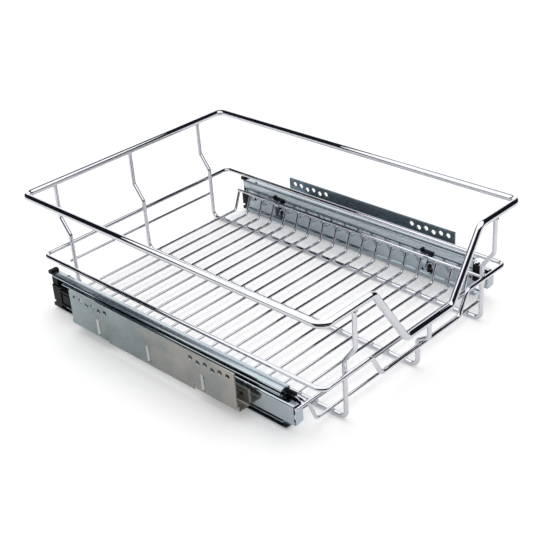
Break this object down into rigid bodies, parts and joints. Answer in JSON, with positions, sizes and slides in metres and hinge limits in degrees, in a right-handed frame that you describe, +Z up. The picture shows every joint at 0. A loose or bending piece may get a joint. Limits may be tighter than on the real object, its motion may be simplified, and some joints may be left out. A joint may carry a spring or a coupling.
{
  "type": "pull-out wire basket",
  "caption": "Bright wire basket with a dipped front rim that pulls out of a cabinet on telescopic ball-bearing slides held by screw-on side brackets.",
  "frame": {"origin": "centre of the basket on the plane that its frame wires stand on", "axes": "+Z up, -Y the way the basket pulls out, +X to the right of someone who looks along +Y"},
  "size_m": [0.3638, 0.464, 0.1385],
  "materials": {
    "chrome_wire": "polished chrome plate",
    "zinc_rail": "bright zinc plate",
    "zinc_bracket": "passivated zinc plate",
    "cage_steel": "plain strip steel",
    "ball_steel": "polished bearing steel",
    "black_plastic": "moulded black plastic"
  },
  "bodies": {
    "cabinet_side": {"left_bracket": "zinc_bracket", "right_bracket": "zinc_bracket", "left_rivets": "zinc_rail", "right_rivets": "zinc_rail", "left_cabinet_rail": "zinc_rail", "right_cabinet_rail": "zinc_rail", "left_rear_catch": "black_plastic", "right_rear_catch": "black_plastic"},
    "basket": {"top_rim": "chrome_wire", "belt_wire": "chrome_wire", "left_frame_wire": "chrome_wire", "middle_frame_wire": "chrome_wire", "right_frame_wire": "chrome_wire", "floor_wires": "chrome_wire", "left_side_wire": "chrome_wire", "right_side_wire": "chrome_wire", "front_cross_wire": "chrome_wire", "back_cross_wire": "chrome_wire", "left_drawer_rail": "zinc_rail", "right_drawer_rail": "zinc_rail", "left_latches": "black_plastic", "right_latches": "black_plastic", "left_bumper": "black_plastic", "right_bumper": "black_plastic"},
    "left_middle": {"left_middle_rail": "zinc_rail"},
    "left_outer_bearing": {"left_outer_cage": "cage_steel", "left_outer_balls": "ball_steel"},
    "left_inner_bearing": {"left_inner_cage": "cage_steel", "left_inner_balls": "ball_steel"},
    "right_middle": {"right_middle_rail": "zinc_rail"},
    "right_outer_bearing": {"right_outer_cage": "cage_steel", "right_outer_balls": "ball_steel"},
    "right_inner_bearing": {"right_inner_cage": "cage_steel", "right_inner_balls": "ball_steel"}
  },
  "joints": [
    {"name": "basket_slide", "type": "slide", "parent": "cabinet_side", "child": "basket", "axis": [0, -1, 0], "range_m": [0, 0.35]},
    {"name": "left_middle_slide", "type": "slide", "parent": "cabinet_side", "child": "left_middle", "axis": [0, -1, 0], "range_m": [0, 0.175]},
    {"name": "left_outer_bearing_slide", "type": "slide", "parent": "cabinet_side", "child": "left_outer_bearing", "axis": [0, -1, 0], "range_m": [0, 0.2625]},
    {"name": "left_inner_bearing_slide", "type": "slide", "parent": "cabinet_side", "child": "left_inner_bearing", "axis": [0, -1, 0], "range_m": [0, 0.0875]},
    {"name": "right_middle_slide", "type": "slide", "parent": "cabinet_side", "child": "right_middle", "axis": [0, -1, 0], "range_m": [0, 0.175]},
    {"name": "right_outer_bearing_slide", "type": "slide", "parent": "cabinet_side", "child": "right_outer_bearing", "axis": [0, -1, 0], "range_m": [0, 0.2625]},
    {"name": "right_inner_bearing_slide", "type": "slide", "parent": "cabinet_side", "child": "right_inner_bearing", "axis": [0, -1, 0], "range_m": [0, 0.0875]}
  ],
  "couplings": [
    {"joint": "left_middle_slide", "follows": "basket_slide", "ratio": 0.5},
    {"joint": "left_outer_bearing_slide", "follows": "basket_slide", "ratio": 0.75},
    {"joint": "left_inner_bearing_slide", "follows": "basket_slide", "ratio": 0.25},
    {"joint": "right_middle_slide", "follows": "basket_slide", "ratio": 0.5},
    {"joint": "right_outer_bearing_slide", "follows": "basket_slide", "ratio": 0.75},
    {"joint": "right_inner_bearing_slide", "follows": "basket_slide", "ratio": 0.25}
  ]
}
